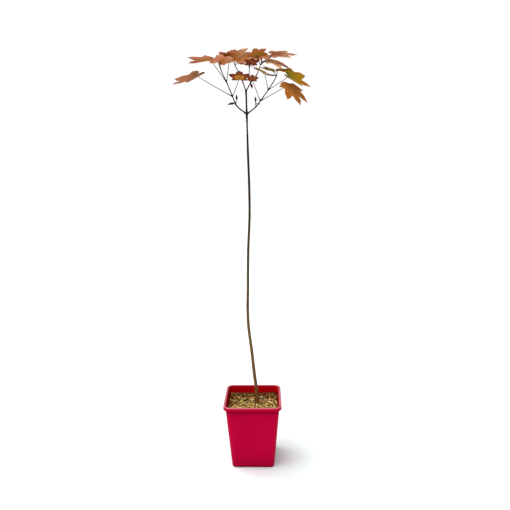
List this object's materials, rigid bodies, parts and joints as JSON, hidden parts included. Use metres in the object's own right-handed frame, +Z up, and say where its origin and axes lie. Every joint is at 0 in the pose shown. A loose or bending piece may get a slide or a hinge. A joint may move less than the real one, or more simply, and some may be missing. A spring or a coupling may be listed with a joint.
{
  "type": "potted norway maple",
  "caption": "Young red-leaved Norway maple with a long thin bare stem and a flat umbrella of lobed leaves, standing in a square tapering plastic pot of bark chips.",
  "frame": {"origin": "centre of the pot's flat underside", "axes": "+Z up along the stem, +X to the viewer's right, -Y towards the viewer of the picture's front"},
  "size_m": [0.4816, 0.2889, 1.5208],
  "materials": {
    "pot_plastic": "smooth moulded crimson plastic with a soft sheen",
    "bark_chips": "loose coarse chips of bark and wood, dry on top",
    "bark": "thin young bark, tan at the foot and dark brown above, with small pale pores",
    "twig_bark": "smooth dark purple-brown twig bark",
    "leaf_red": "thin soft young leaf, pinkish red, slightly glossy",
    "leaf_orange": "thin soft young leaf, orange-red, slightly glossy",
    "leaf_gold": "thin soft young leaf, golden green flushed with orange",
    "leaf_dark": "thin leaf seen from its shaded side, dark brownish red",
    "leaf_young": "unopened young leaves, dark purple"
  },
  "bodies": {
    "root": {"pot": "pot_plastic", "soil": "bark_chips", "trunk": "bark", "bough_left": "twig_bark", "bough_right": "twig_bark", "arm_left": "twig_bark", "arm_right": "twig_bark", "arm_middle": "twig_bark", "leaves_left": "leaf_red", "leaves_top_left": "leaf_red", "leaves_middle": "leaf_dark", "leaves_top_right": "leaf_orange", "leaves_right": "leaf_gold", "shoot_left": "leaf_young", "shoot_right": "leaf_young", "shoot_top": "leaf_young"}
  },
  "joints": []
}
